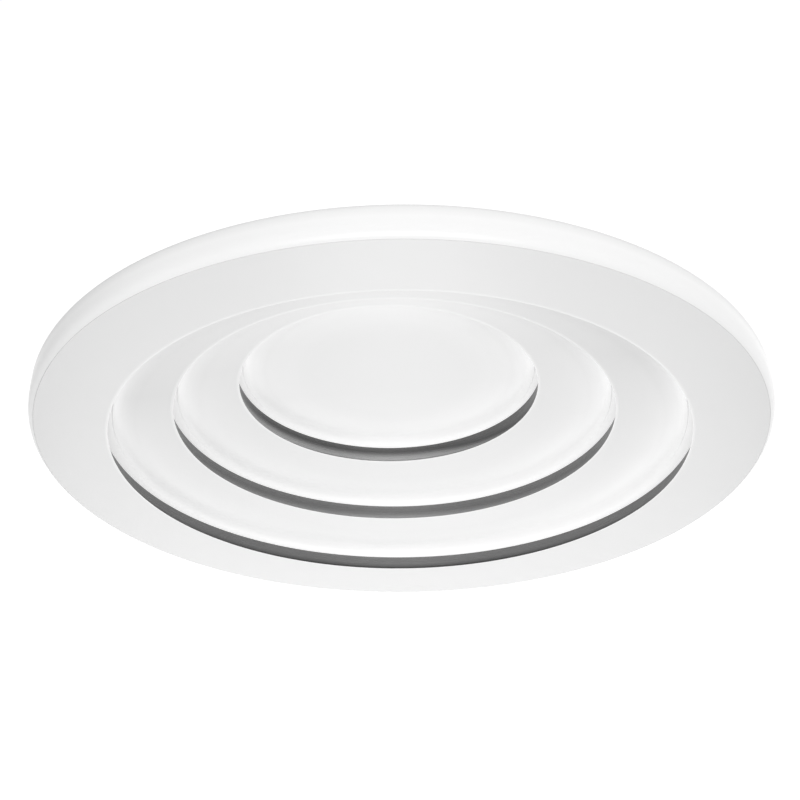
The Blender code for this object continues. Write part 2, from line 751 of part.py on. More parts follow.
def make_driver(mats):
    """LED driver: two case halves around a circuit board and its parts."""
    bm = bmesh.new()
    add_open_box(bm, (-DRIVER_X, DRIVER_Y[0], DRIVER_SPLIT), (DRIVER_X, DRIVER_Y[1], FLOOR),
                 DRIVER_WALL, DRIVER_SPLIT)
    base = finish("driver_base", bm, mats["moulded"])
    fix_driver(base, mats)
    bm = bmesh.new()
    add_open_box(bm, (-DRIVER_X, DRIVER_Y[0], DRIVER_BOTTOM), (DRIVER_X, DRIVER_Y[1], DRIVER_SPLIT - GAP),
                 DRIVER_WALL, DRIVER_SPLIT - GAP)
    finish("driver_lid", bm, mats["moulded"])

    board_top = FLOOR - DRIVER_WALL - 0.0015
    board_bottom = board_top - BOARD
    seat = board_bottom - GAP
    middle = (DRIVER_Y[0] + DRIVER_Y[1]) / 2.0
    bm = bmesh.new()
    add_box(bm, (-0.075, middle - 0.016, board_bottom), (0.075, middle + 0.016, board_top))
    finish("driver_board", bm, mats["circuit"])
    bm = bmesh.new()
    add_box(bm, (-0.010, middle - 0.010, seat - 0.012), (0.012, middle + 0.010, seat))
    finish("driver_transformer", bm, mats["dark"])
    for name, x, radius in (("driver_capacitor", -0.048, 0.007), ("driver_coil", 0.045, 0.0085)):
        bm = bmesh.new()
        add_turned(bm, (x, middle), ((radius, seat), (radius, seat - 0.012)), 14)
        finish(name, bm, mats["dark"])


# --- LED tray --------------------------------------------------------------------------------

def standoff_places():
    return [polar(STANDOFF_RING, angle) for angle in STANDOFF_ANGLES]


def make_tray(mats):
    """White reflector tray that carries the LED boards, on three standoffs."""
    section = ((TRAY_RADIUS, TRAY_TOP, 0.0), (TRAY_RADIUS, TRAY_BOTTOM, 0.0))
    tray = dish_solid("led_tray", section, 48, mats["paint"])

    def openings(cutter):
        add_box(cutter, (-WINDOW_HALF_WIDTH, WINDOW_Y[0], TRAY_BOTTOM - 0.005),
                (WINDOW_HALF_WIDTH, WINDOW_Y[1], TRAY_TOP + 0.005))
        add_turned(cutter, LEAD_HOLE, ((0.005, TRAY_BOTTOM - 0.005), (0.005, TRAY_TOP + 0.005)), 12)
        for place in standoff_places():
            add_hole(cutter, place, TRAY_BOTTOM - 0.005, TRAY_TOP + 0.005)

    cut(tray, openings)
    for number, place in enumerate(standoff_places(), 1):
        high = TRAY_TOP + GAP
        profile = ((0.004, FLOOR), (0.004, high), (HOLE_RADIUS, high), (HOLE_RADIUS, high + 0.008))
        bm = bmesh.new()
        add_turned(bm, place, profile, 8)
        finish(f"tray_standoff_{number}", bm, mats["steel"])
        screw(f"tray_screw_{number}", place, TRAY_BOTTOM - GAP, 0.006, mats, -1.0)


def make_led_board(label, centre_y, inner, outer, start, end, mats):
    """One arc-shaped board under the tray, with its LED strip along the middle of its width."""
    top = TRAY_BOTTOM - GAP
    low = top - BOARD
    bm = bmesh.new()
    add_arc(bm, inner, outer, start, end, BOARD_STEPS, low, top, centre_y)
    finish(label + "_led_board", bm, mats["board"])
    ring = (inner + outer) / 2.0
    seat = low - GAP
    bm = bmesh.new()
    add_arc(bm, ring - STRIP_HALF_WIDTH, ring + STRIP_HALF_WIDTH, start + 2.0, end - 2.0,
            BOARD_STEPS, seat - STRIP_HEIGHT, seat, centre_y)
    finish(label + "_led_strip", bm, mats["led"])


def make_led_header(mats):
    """Connector under the tray where the driver's leads plug in."""
    top = TRAY_BOTTOM - GAP
    bm = bmesh.new()
    add_box(bm, (0.1325, -0.035, top - 0.006), (0.1395, -0.021, top))
    return finish("led_connector", bm, mats["moulded"])


# --- terminal cover --------------------------------------------------------------------------

def cover_outline():
    """Section of the cover: a C-clip around the pin that runs into a flat plate."""
    plate_low = PIN_Z + 0.0005
    plate_high = PIN_Z + 0.0020
    high_angle = math.degrees(math.asin((plate_high - PIN_Z) / CLIP_OUTER))
    low_angle = math.degrees(math.asin((plate_low - PIN_Z) / CLIP_OUTER))
    centre = (PIN_Y, PIN_Z)
    outline = arc_points(CLIP_OUTER, high_angle, 200.0, 6, centre)
    outline += arc_points(CLIP_INNER, 200.0, -100.0, 10, centre)
    outline += arc_points(CLIP_OUTER, -100.0, low_angle, 5, centre)
    outline += [(COVER_TIP_Y, plate_low), (COVER_TIP_Y, plate_high)]
    return outline


def make_cover(mats):
    """Touch guard over the terminal window, clipped on a pin under the tray."""
    bm = bmesh.new()
    outline = [(y - PIN_Y, z - PIN_Z) for y, z in cover_outline()]
    add_prism_x(bm, outline, -COVER_HALF_WIDTH, COVER_HALF_WIDTH)
    cover = finish("terminal_cover", bm, mats["moulded"])
    cover.location = (0.0, PIN_Y, PIN_Z)

    reach = COVER_HALF_WIDTH + GAP + BRACKET_WIDTH
    bm = bmesh.new()
    outline = arc_points(PIN_RADIUS, 0.0, 330.0, 11, (PIN_Y, PIN_Z))
    add_prism_x(bm, outline, -reach, reach)
    finish("cover_pin", bm, mats["steel"])

    top = TRAY_BOTTOM - GAP
    slot = PIN_RADIUS + GAP
    bracket = [(PIN_Y - 0.003, top), (PIN_Y - 0.003, PIN_Z + slot), (PIN_Y + slot, PIN_Z + slot),
               (PIN_Y + slot, PIN_Z - slot), (PIN_Y - 0.003, PIN_Z - slot),
               (PIN_Y - 0.003, PIN_Z - 0.0027), (PIN_Y + 0.003, PIN_Z - 0.0027), (PIN_Y + 0.003, top)]
    for label, side in (("left", -1.0), ("right", 1.0)):
        near = side * (COVER_HALF_WIDTH + GAP)
        bm = bmesh.new()
        add_prism_x(bm, bracket, near, near + side * BRACKET_WIDTH)
        finish(f"cover_bracket_{label}", bm, mats["moulded"])


# --- assembly --------------------------------------------------------------------------------

def clear_scene():
    for old in list(bpy.data.objects):
        bpy.data.objects.remove(old, do_unlink=True)


def main():
    clear_scene()
    mats = make_materials()

    make_face_ring(mats)
    rim = make_rim(mats)
    frame = make_front_frame(mats)
    make_collar(mats)
    make_frame_fixings(rim, frame, mats)
    for tier, label in zip(TIERS, ("outer", "middle", "inner")):
        make_band(tier, label + "_trim_band", mats)
        make_spacer(tier, label + "_spacer_ring", mats)
        make_panel(tier, label + "_panel", mats)

    make_pan(mats)
    make_lock_spring(mats)
    make_grommet(mats)
    make_clamp(mats)
    make_terminal(mats)
    make_earth_screw(mats)
    make_leads(mats)
    make_driver(mats)

    make_tray(mats)
    for board in LED_BOARDS:
        make_led_board(*board, mats)
    make_led_header(mats)
    make_cover(mats)


main()
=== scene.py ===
"""Looks of the round ceiling light with stepped, off-centre recesses, in metres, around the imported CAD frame.

The ceiling is z = 0 and the light hangs below it. The pieces seen from outside are built here again
with fine circles and rounded edges; the small parts inside keep their CAD solids.
"""

import json
import math

import bmesh
import bpy
from mathutils import Matrix, Vector


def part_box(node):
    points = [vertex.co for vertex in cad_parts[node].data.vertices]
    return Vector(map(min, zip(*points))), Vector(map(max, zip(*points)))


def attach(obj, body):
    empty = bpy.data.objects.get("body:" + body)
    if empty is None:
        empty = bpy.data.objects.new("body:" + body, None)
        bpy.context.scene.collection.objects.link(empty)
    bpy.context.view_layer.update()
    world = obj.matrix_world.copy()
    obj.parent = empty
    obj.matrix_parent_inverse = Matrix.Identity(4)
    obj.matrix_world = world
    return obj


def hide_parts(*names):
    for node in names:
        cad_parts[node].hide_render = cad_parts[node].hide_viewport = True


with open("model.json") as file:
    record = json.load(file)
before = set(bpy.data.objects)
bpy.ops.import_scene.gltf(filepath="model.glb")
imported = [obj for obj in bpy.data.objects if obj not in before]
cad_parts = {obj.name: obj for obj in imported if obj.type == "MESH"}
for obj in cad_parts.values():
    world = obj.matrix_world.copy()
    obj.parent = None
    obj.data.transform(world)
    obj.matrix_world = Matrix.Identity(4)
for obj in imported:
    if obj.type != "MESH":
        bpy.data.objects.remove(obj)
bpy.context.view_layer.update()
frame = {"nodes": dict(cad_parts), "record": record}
NODES = frame["nodes"]

# Sizes of the CAD model that the finer pieces repeat.
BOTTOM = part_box("face_ring")[0][2]
FACE_RADIUS = 0.250
STEP = 0.013
LIP_RADII = (0.250, 0.200, 0.150, 0.100)
LIP_CENTRES = (0.0, -0.006, -0.031, -0.056)
BAND_SETBACK = (0.0, 0.0065, 0.005, 0.003)
BAND_FLANGE = 0.009
BAND = 0.001
OPAL = 0.002
GAP = 0.0003
STEEL = 0.0012
LIP_PROFILE = (               # soft, undercut edge of each hole: outwards from the lip, up from the face
    (0.0016, 0.0), (0.0008, 0.00002), (0.0003, 0.00005), (0.00006, 0.0001), (0.0, 0.00015), (0.0002, 0.0003))
LIP_UNDERCUT = (0.0, 0.0050, 0.0045, 0.0029)      # reach of the undercut at the back of the plate
FIELD_INSET = 0.0012
FIELD_DROP = 0.0004
LABELS = ("", "outer", "middle", "inner")

FINE = 288                 # segments of the large circles


def face_z(tier):
    """Height of the flat face inside lip number tier."""
    return BOTTOM + tier * STEP


# --- meshes ------------------------------------------------------------------------------------

def rounded(section, steps=4):
    """Section of (radius, z, centre y, fillet) points, with each fillet replaced by an arc."""
    points = []
    count = len(section)
    for i, (radius, z, y, fillet) in enumerate(section):
        here = Vector((radius, z))
        if fillet <= 0.0:
            points.append((radius, z, y))
            continue
        before = section[i - 1]
        after = section[(i + 1) % count]
        u = (Vector(before[:2]) - here).normalized()
        v = (Vector(after[:2]) - here).normalized()
        half = u.angle(v) / 2.0
        reach = fillet / math.tan(half)
        middle = here + (u + v).normalized() * (fillet / math.sin(half))
        start = here + u * reach - middle
        end = here + v * reach - middle
        turn = start.angle_signed(end)
        for k in range(steps + 1):
            spoke = start.copy()
            spoke.rotate(Matrix.Rotation(-turn * k / steps, 2))
            points.append((middle.x + spoke.x, middle.y + spoke.y, y))
    return points


def circle(bm, radius, z, centre_y, segments):
    return [bm.verts.new((radius * math.cos(2.0 * math.pi * i / segments),
                          centre_y + radius * math.sin(2.0 * math.pi * i / segments), z))
            for i in range(segments)]


def bridge(bm, first, second):
    count = len(first)
    for i in range(count):
        j = (i + 1) % count
        bm.faces.new((first[i], first[j], second[j], second[i]))


def mesh_piece(name, bm, mat, body, node, sharp=35.0):
    """Turn a bmesh into a piece that rides on a body and replaces a CAD node."""
    bmesh.ops.recalc_face_normals(bm, faces=bm.faces)
    mesh = bpy.data.meshes.new(name)
    bm.to_mesh(mesh)
    bm.free()
    mesh.shade_smooth()
    mesh.set_sharp_from_angle(angle=math.radians(sharp))
    piece = bpy.data.objects.new(name, mesh)
    bpy.context.scene.collection.objects.link(piece)
    mesh.materials.append(mat)
    weight = piece.modifiers.new("even_faces", "WEIGHTED_NORMAL")
    weight.keep_sharp = True
    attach(piece, body)
    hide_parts(node)
    return piece


def ring_mesh(section, segments=FINE, capped=False):
    """Ring with the given section, or a disc closed at its first and last circle."""
    bm = bmesh.new()
    loops = [circle(bm, radius, z, y, segments) for radius, z, y in section]
    for first, second in zip(loops, loops[1:]):
        bridge(bm, first, second)
    if capped:
        for loop, (_, z, y) in ((loops[0], section[0]), (loops[-1], section[-1])):
            hub = bm.verts.new((0.0, y, z))
            for i, vert in enumerate(loop):
                bm.faces.new((vert, loop[(i + 1) % segments], hub))
    else:
        bridge(bm, loops[-1], loops[0])
    return bm


# --- materials ---------------------------------------------------------------------------------

GLOW_REACH = 0.070            # width of the glow, from GLOW_START outside each lip radius
GLOW_START = 0.007
EDGE_GLOW = (                 # glow close to the wall, the same all round: place and level
    (0.0, 0.44), (0.10, 0.42), (0.157, 0.30), (0.214, 0.13), (0.271, 0.045), (0.33, 0.0))
WIDE_GLOW_AND_PAINTED_LIGHT = (                 # glow and painted light that spread over the wide +Y side of each crescent
    (0.0, 0.34), (0.10, 0.36), (0.157, 0.42), (0.214, 0.52), (0.271, 0.55), (0.33, 0.52), (0.386, 0.455),
    (0.443, 0.37), (0.5, 0.30), (0.557, 0.25), (0.67, 0.188), (0.786, 0.155), (1.0, 0.15))
PAINTED_LIGHT_LEVEL = (0.0, 1.0, 0.85, 0.80)   # painted light at the +Y side of tiers 1 to 3
PAINTED_LIGHT_MIDDLE = 0.39                    # its share at the left and right
PAINTED_LIGHT_BACK = (0.0, 0.04, 0.16, 0.30)   # its share between there and the -Y side
PAINTED_LIGHT_NEAR = 0.22                      # what the -Y side has over that
GLOW_FILL = (0.0, 0.0, 0.01, 0.04)    # even glow over the middle of each panel
LIP_GLOW_AND_HIGHLIGHT = 0.10               # extra emission at the cut edge of a lip: glow of the acrylic's cut edge and a painted highlight line
LIP_WIDTH = 0.0022
LIP_PAINTED_HIGHLIGHT = 1.15              # painted highlight: white of the lip's edge over that of the plate
OPAL_WHITE = (0.62, 0.62, 0.62)


class Shader:
    """A node material around one Principled shader, with short calls for its usual nodes."""

    def __init__(self, name, roughness, metallic=0.0, **sockets):
        self.mat = bpy.data.materials.new(name)
        self.mat.use_nodes = True
        self.tree = self.mat.node_tree
        self.main = self.tree.nodes["Principled BSDF"]
        self.main.inputs["Roughness"].default_value = roughness
        self.main.inputs["Metallic"].default_value = metallic
        for label, value in sockets.items():
            self.main.inputs[label.replace("_", " ")].default_value = value
        self.place = self.add("ShaderNodeTexCoord").outputs["Object"]

    def add(self, kind, **settings):
        node = self.tree.nodes.new(kind)
        for label, value in settings.items():
            setattr(node, label, value)
        return node

    def link(self, source, target):
        self.tree.links.new(source, target)

    def noise(self, scale, detail=3.0, stretch=None):
        node = self.add("ShaderNodeTexNoise")
        node.inputs["Scale"].default_value = scale
        node.inputs["Detail"].default_value = detail
        source = self.place
        if stretch:
            mapping = self.add("ShaderNodeMapping")
            mapping.inputs["Scale"].default_value = stretch
            self.link(source, mapping.inputs["Vector"])
            source = mapping.outputs["Vector"]
        self.link(source, node.inputs["Vector"])
        return node.outputs["Fac"]

    def polar(self, centre_y=0.0):
        """Distance from a vertical axis through (0, centre_y), and its part along +Y."""
        shift = self.add("ShaderNodeVectorMath", operation="MULTIPLY_ADD")
        shift.inputs[1].default_value = (1.0, 1.0, 0.0)
        shift.inputs[2].default_value = (0.0, -centre_y, 0.0)
        self.link(self.place, shift.inputs[0])
        length = self.add("ShaderNodeVectorMath", operation="LENGTH")
        self.link(shift.outputs[0], length.inputs[0])
        split = self.add("ShaderNodeSeparateXYZ")
        self.link(shift.outputs[0], split.inputs["Vector"])
        return length.outputs["Value"], split.outputs["Y"]

    def spread(self, source, low, high, from_low=0.0, from_high=1.0):
        node = self.add("ShaderNodeMapRange")
        node.inputs["From Min"].default_value = from_low
        node.inputs["From Max"].default_value = from_high
        node.inputs["To Min"].default_value = low
        node.inputs["To Max"].default_value = high
        self.link(source, node.inputs["Value"])
        return node.outputs["Result"]

    def ramp(self, source, stops):
        """Colour ramp of (place, colour or grey)."""
        node = self.add("ShaderNodeValToRGB")
        while len(node.color_ramp.elements) < len(stops):
            node.color_ramp.elements.new(0.5)
        for element, (place, colour) in zip(node.color_ramp.elements, stops):
            element.position = place
            if not isinstance(colour, tuple):
                colour = (colour, colour, colour)
            element.color = (*colour, 1.0)
        self.link(source, node.inputs["Fac"])
        return node.outputs["Color"]

    def tint(self, source, colour, amount):
        """Base colour that varies by the amount either side of a colour."""
        low = tuple(c * (1.0 - amount) for c in colour)
        high = tuple(min(1.0, c * (1.0 + amount)) for c in colour)
        self.link(self.ramp(source, ((0.15, low), (0.85, high))), self.main.inputs["Base Color"])

    def rough(self, source, low, high):
        self.link(self.spread(source, low, high, 0.15, 0.85), self.main.inputs["Roughness"])

    def bump(self, source, strength, distance):
        node = self.add("ShaderNodeBump")
        node.inputs["Strength"].default_value = strength
        node.inputs["Distance"].default_value = distance
        self.link(source, node.inputs["Height"])
        self.link(node.outputs["Normal"], self.main.inputs["Normal"])


def powder_coat(name, colour, lip=None):
    """Satin white powder coat: faint orange peel and slightly uneven sheen. A lip carries a painted highlight:
    its base colour is a little brighter along the edge.
    """
    made = Shader(name, 0.4, Coat_Weight=0.6, Coat_Roughness=0.25)
    if lip:
        # painted highlight: the base colour brightens towards the lip's edge
        distance, _ = made.polar(LIP_CENTRES[lip])
        inwards = made.spread(distance, 1.0, 0.0, LIP_RADII[lip], LIP_RADII[lip] + LIP_WIDTH)
        lip_highlight = tuple(c * LIP_PAINTED_HIGHLIGHT for c in colour)
        made.link(made.ramp(inwards, ((0.0, colour), (1.0, lip_highlight))), made.main.inputs["Base Color"])
    else:
        made.tint(made.noise(9.0, 0.0), colour, 0.004)
    made.rough(made.noise(60.0), 0.34, 0.42)
    made.bump(made.noise(650.0, 1.0), 0.05, 0.0002)
    return made.mat


def opal(name, colour, tier):
    """Opal acrylic lit from behind: its glow is brightest along its edge and fades inwards. Painted light over
    the wide +Y side of each crescent fades towards -Y. The cut edge of the next lip glows, with a painted
    highlight line.
    """
    made = Shader(name, 0.28, Emission_Strength=1.0, Coat_Weight=0.6, Coat_Roughness=0.25)
    made.tint(made.noise(6.0, 0.0), colour, 0.003)
    made.rough(made.noise(30.0, 1.0), 0.28, 0.32)
    distance, side = made.polar(LIP_CENTRES[tier])
    start = LIP_RADII[tier] + GLOW_START
    inwards = made.spread(distance, 1.0, 0.0, start - GLOW_REACH, start)
    back, level = PAINTED_LIGHT_BACK[tier], PAINTED_LIGHT_LEVEL[tier]
    # painted light: strongest at +Y, least a quarter of the way from -Y, a little more again at -Y
    share = made.ramp(made.spread(side, 0.0, 1.0, -LIP_RADII[tier], LIP_RADII[tier]), (
        (0.0, level * (back + PAINTED_LIGHT_NEAR)), (0.27, level * back), (0.58, level * PAINTED_LIGHT_MIDDLE), (1.0, level)))
    wide = made.add("ShaderNodeVectorMath", operation="MULTIPLY_ADD")
    made.link(made.ramp(inwards, WIDE_GLOW_AND_PAINTED_LIGHT), wide.inputs[0])
    made.link(share, wide.inputs[1])
    made.link(made.ramp(inwards, EDGE_GLOW + ((0.55, GLOW_FILL[tier]),)), wide.inputs[2])
    total = wide.outputs[0]
    if tier < 3:
        # glow of the next lip's cut edge, with a painted highlight line
        distance, _ = made.polar(LIP_CENTRES[tier + 1])
        edge = made.spread(distance, 1.0, 0.0, LIP_RADII[tier + 1], LIP_RADII[tier + 1] + LIP_WIDTH)
        lip = made.add("ShaderNodeVectorMath", operation="ADD")
        made.link(total, lip.inputs[0])
        made.link(made.ramp(edge, ((0.0, 0.0), (1.0, LIP_GLOW_AND_HIGHLIGHT))), lip.inputs[1])
        total = lip.outputs[0]
    made.link(total, made.main.inputs["Emission Color"])
    made.bump(made.noise(400.0, 1.0), 0.01, 0.0001)
    return made.mat


def brushed(name, low, high, stops, shade_fade):
    """Satin anodised aluminium, drawn around the ring, with painted reflection and shade from its lower edge to
    its upper one.

    The fade is painted shade: it lets the light foot of a wall run out towards +X.
    """
    made = Shader(name, 0.3, metallic=0.85)
    lines = made.noise(1.0, 4.0, (18.0, 18.0, 5200.0))
    split = made.add("ShaderNodeSeparateXYZ")
    made.link(made.place, split.inputs["Vector"])
    # painted reflection and shade: the grey is picked by height up the wall, and its light foot runs out
    # towards +X
    place = made.add("ShaderNodeMath", operation="ADD")
    made.link(made.spread(split.outputs["Z"], 0.0, 1.0, low, high), place.inputs[0])
    made.link(made.spread(split.outputs["X"], 0.0, shade_fade, *PAINTED_SHADE_RUN), place.inputs[1])
    grey_with_painted_light = made.ramp(place.outputs[0], stops)
    grain = made.add("ShaderNodeVectorMath", operation="SCALE")
    made.link(grey_with_painted_light, grain.inputs[0])
    made.link(made.spread(lines, 0.95, 1.05, 0.3, 0.7), grain.inputs["Scale"])
    made.link(grain.outputs[0], made.main.inputs["Base Color"])
    made.rough(lines, 0.22, 0.36)
    made.bump(lines, 0.06, 0.00005)
    return made.mat


def zinc(name):
    """Bright zinc plate with a faint spangle."""
    made = Shader(name, 0.32, metallic=1.0)
    cells = made.add("ShaderNodeTexVoronoi")
    cells.inputs["Scale"].default_value = 420.0
    made.link(made.place, cells.inputs["Vector"])
    made.tint(cells.outputs["Distance"], (0.62, 0.64, 0.66), 0.08)
    made.rough(made.noise(500.0), 0.24, 0.40)
    made.bump(made.noise(1500.0, 2.0), 0.08, 0.0001)
    return made.mat


def moulded(name, colour, low=0.45, high=0.6, grain=1400.0, depth=0.0001, amount=0.02):
    """Moulded plastic with a fine spark-eroded grain."""
    made = Shader(name, (low + high) / 2.0)
    made.tint(made.noise(40.0), colour, amount)
    made.rough(made.noise(300.0), low, high)
    made.bump(made.noise(grain, 2.0), 0.05, depth)
    return made.mat


WHITE = (0.70, 0.70, 0.70)
PAINT = powder_coat("satin_powder_coat", WHITE)
ZINC = zinc("bright_zinc")
MOULDING = moulded("white_moulding_grain", (0.74, 0.74, 0.72))
FINISHES = {
    "white_paint": PAINT,
    "galvanised_steel": ZINC,
    "white_moulding": MOULDING,
    "orange_moulding": moulded("orange_moulding_grain", (0.80, 0.27, 0.04), 0.35, 0.5),
    "black_rubber": moulded("black_rubber_grain", (0.025, 0.025, 0.025), 0.65, 0.85, 2200.0, 0.0002, 0.2),
    "white_board": moulded("white_solder_resist", (0.84, 0.85, 0.84), 0.28, 0.4, 900.0, 0.00003, 0.01),
    "green_board": moulded("green_solder_resist", (0.03, 0.20, 0.07), 0.28, 0.4, 900.0, 0.00005, 0.15),
    "led_phosphor": moulded("phosphor_silicone", (0.93, 0.74, 0.22), 0.28, 0.38, 700.0, 0.00005, 0.05),
    "dark_component": moulded("dark_component_grain", (0.04, 0.04, 0.045), 0.4, 0.6, 1200.0, 0.0001, 0.15),
    "brown_sleeve": moulded("brown_sleeve_grain", (0.16, 0.06, 0.02), 0.4, 0.55, 1100.0, 0.00005, 0.08),
    "blue_sleeve": moulded("blue_sleeve_grain", (0.03, 0.10, 0.38), 0.4, 0.55, 1100.0, 0.00005, 0.08),
    "white_sleeve": moulded("white_sleeve_grain", (0.72, 0.72, 0.70), 0.4, 0.55, 1100.0, 0.00005, 0.02),
}
BAND_GREY_AND_PAINTED_LIGHT = {               # dark grey of the trim with painted light, from the foot of each wall to its top: painted shade at the foot of wall 1, a painted reflection of the glowing panel at the feet of walls 2 and 3, a darker painted reflection below the top
    1: ((0.0, 0.03), (0.12, 0.06), (0.25, 0.11), (0.45, 0.15), (1.0, 0.155)),
    2: ((0.0, 0.30), (0.12, 0.27), (0.30, 0.19), (0.5, 0.145), (1.0, 0.165)),
    3: ((0.0, 0.37), (0.12, 0.36), (0.30, 0.28), (0.5, 0.14), (0.65, 0.085), (1.0, 0.12)),
}
BAND_PAINTED_SHADE_FADE = (0.0, 0.0, 0.05, 0.45)    # painted shade: how far each wall's shades sink towards its foot at +X
PAINTED_SHADE_RUN = (0.02, 0.078)              # from this X to this X


# --- front -------------------------------------------------------------------------------------

def lip_section(tier):
    """Edge of the hole in the plate below a tier."""
    profile = LIP_PROFILE + ((LIP_UNDERCUT[tier], OPAL),)
    return [(LIP_RADII[tier] + out, face_z(tier - 1) + up, LIP_CENTRES[tier], 0.0) for out, up in profile]


def build_face_ring():
    """Flat painted ring round the first hole."""
    low = face_z(0)
    outside = [(FACE_RADIUS, low + OPAL, 0.0, 0.0), (FACE_RADIUS, low, 0.0, 0.0003)]
    section = rounded(lip_section(1) + outside)
    mat = powder_coat("face_powder_coat", WHITE, 1)
    mesh_piece("outer_face_plate", ring_mesh(section), mat, "front", "face_ring")


def build_band(tier):
    """Dark wall of a recess with its foot on the plate's back."""
    name = LABELS[tier]
    inner = LIP_RADII[tier] + BAND_SETBACK[tier]
    low = face_z(tier - 1) + OPAL + GAP
    high = face_z(tier) + FIELD_DROP - GAP
    y = LIP_CENTRES[tier]
    section = rounded([
        (inner, low, y, 0.0004), (inner + BAND_FLANGE, low, y, 0.0002),
        (inner + BAND_FLANGE, low + BAND, y, 0.0002), (inner + BAND, low + BAND, y, 0.0006),
        (inner + BAND, high, y, 0.0), (inner, high, y, 0.0)], 3)
    mat = brushed(name + "_brushed_grey", low, high, BAND_GREY_AND_PAINTED_LIGHT[tier], BAND_PAINTED_SHADE_FADE[tier])
    mesh_piece(name + "_grey_wall", ring_mesh(section), mat, "front", name + "_trim_band")


def build_panel(tier):
    """Opal panel that is a recess's field: a ring round the next hole, or the last disc."""
    name = LABELS[tier]
    y = LIP_CENTRES[tier]
    face = face_z(tier)
    field = LIP_RADII[tier] - FIELD_INSET
    edge = LIP_RADII[tier] + BAND_SETBACK[tier] + BAND_FLANGE
    rim = [(field - FIELD_DROP, face, y, 0.0004), (field, face + FIELD_DROP, y, 0.0004),
           (edge, face + FIELD_DROP, y, 0.0003), (edge, face + OPAL, y, 0.0003)]
    mat = opal(name + "_opal", OPAL_WHITE, tier)
    if tier == 3:
        section = rounded([(0.0, face, y, 0.0)] + rim + [(0.0, face + OPAL, y, 0.0)])[1:-1]
        bm = ring_mesh(section, FINE, True)
    else:
        bm = ring_mesh(rounded(rim + lip_section(tier + 1)[::-1]))
    mesh_piece(name + "_opal_panel", bm, mat, "front", name + "_panel")


RIM_GAP = 0.0001
RIM_HEIGHT = 0.0205
RIM_BULGE = 0.0043
RIM_PEAK = 0.8                # share of the height at which the rim is widest
RIM_POWER = 5.0               # squareness of the bulge
RIM_RETURN = 0.240            # inner radius of the rim's two flanges
RIM_ROWS = 28
RIM_GLOW_AND_PAINTED_SHADE = (                  # glow of the rim from its foot to its top, falling off near the top as painted shade
    (0.0, 0.15), (0.15, 0.17), (0.6, 0.20), (0.85, 0.13), (0.95, 0.06), (1.0, 0.0))
RIM_PAINTED_SHADE_SIDES = ((0.12, 0.7), (0.3, 1.05))    # painted shade: factor on that glow, darker at -X than at +X


def rim_radius(fraction):
    """Outside radius of the rim at a fraction of its height."""
    if fraction < RIM_PEAK:
        reach = (RIM_PEAK - fraction) / RIM_PEAK
    else:
        reach = (fraction - RIM_PEAK) / (1.0 - RIM_PEAK) * 0.8
    return FACE_RADIUS + RIM_BULGE * (1.0 - reach ** RIM_POWER)


def build_rim():
    """Bulging opal rim with a flange at its foot and one at its top."""
    low = face_z(0) + OPAL + GAP
    top = face_z(0) + RIM_HEIGHT
    wall = FACE_RADIUS + RIM_BULGE - OPAL
    section = [(FACE_RADIUS + RIM_GAP, face_z(0) + 0.0002, 0.0)]
    for k in range(1, RIM_ROWS + 1):
        fraction = 0.03 + 0.97 * (k / RIM_ROWS) ** 1.3
        section.append((rim_radius(fraction), face_z(0) + fraction * RIM_HEIGHT, 0.0))
    section += rounded([
        (RIM_RETURN, top, 0.0, 0.0004), (RIM_RETURN, top - OPAL, 0.0, 0.0004),
        (wall, top - OPAL, 0.0, 0.0), (wall, low + 0.004, 0.0, 0.0),
        (FACE_RADIUS - 0.001, low + OPAL, 0.0, 0.0), (RIM_RETURN, low + OPAL, 0.0, 0.0004),
        (RIM_RETURN, low, 0.0, 0.0004), (FACE_RADIUS + RIM_GAP, low, 0.0, 0.0)])
    made = Shader("rim_opal", 0.25, Emission_Strength=1.0)
    made.tint(made.noise(6.0, 0.0), WHITE, 0.003)
    made.rough(made.noise(30.0, 1.0), 0.28, 0.32)
    split = made.add("ShaderNodeSeparateXYZ")
    made.link(made.place, split.inputs["Vector"])
    height = made.spread(split.outputs["Z"], 0.0, 1.0, face_z(0), top)
    side = made.spread(split.outputs["X"], 0.0, 1.0, -FACE_RADIUS, FACE_RADIUS)
    # emission: the rim's glow times painted shade towards its top and at its -X side
    uneven = made.add("ShaderNodeVectorMath", operation="MULTIPLY")
    made.link(made.ramp(height, RIM_GLOW_AND_PAINTED_SHADE), uneven.inputs[0])
    made.link(made.ramp(side, RIM_PAINTED_SHADE_SIDES), uneven.inputs[1])
    made.link(uneven.outputs[0], made.main.inputs["Emission Color"])
    made.bump(made.noise(400.0, 1.0), 0.03, 0.0001)
    mesh_piece("opal_rim", ring_mesh(section), made.mat, "front", "rim_diffuser")


build_face_ring()
build_rim()
for tier in (1, 2, 3):
    build_band(tier)
for tier in (1, 2, 3):
    build_panel(tier)


# --- back, collar and small parts --------------------------------------------------------------

PAN_RADIUS = 0.168
PAN_DEPTH = 0.034
PAN_CORNER = 0.004
PAN_BEADS = ((0.030, 0.037), (0.1275, 0.1345))    # inner and outer radius of the pressed rings
BEAD = 0.0006                                     # their depth
RIB_ANGLES = (0.0, 30.0, 60.0, 120.0, 150.0, 180.0, 240.0, 300.0)
RIB_RUN = (0.050, 0.096)
RIB_HALF_WIDTH = 0.003
CABLE_HOLE = (0.062, 0.012)                       # y and radius
SLOTS = ((-0.110, 0.020), (0.110, 0.020), (-0.045, -0.110), (0.045, -0.110))
SLOT_HALF_LENGTH = 0.007
SLOT_RADIUS = 0.0026
BAYONET_ANGLES = (30.0, 150.0, 270.0)
BAYONET_WIDTH = 11.0
LUGS = (0.1674, 0.1725, -0.0335, -0.0315)         # inner and outer radius, lowest and highest z
TABS = (0.170, 0.1756, -0.0309, -0.0293)
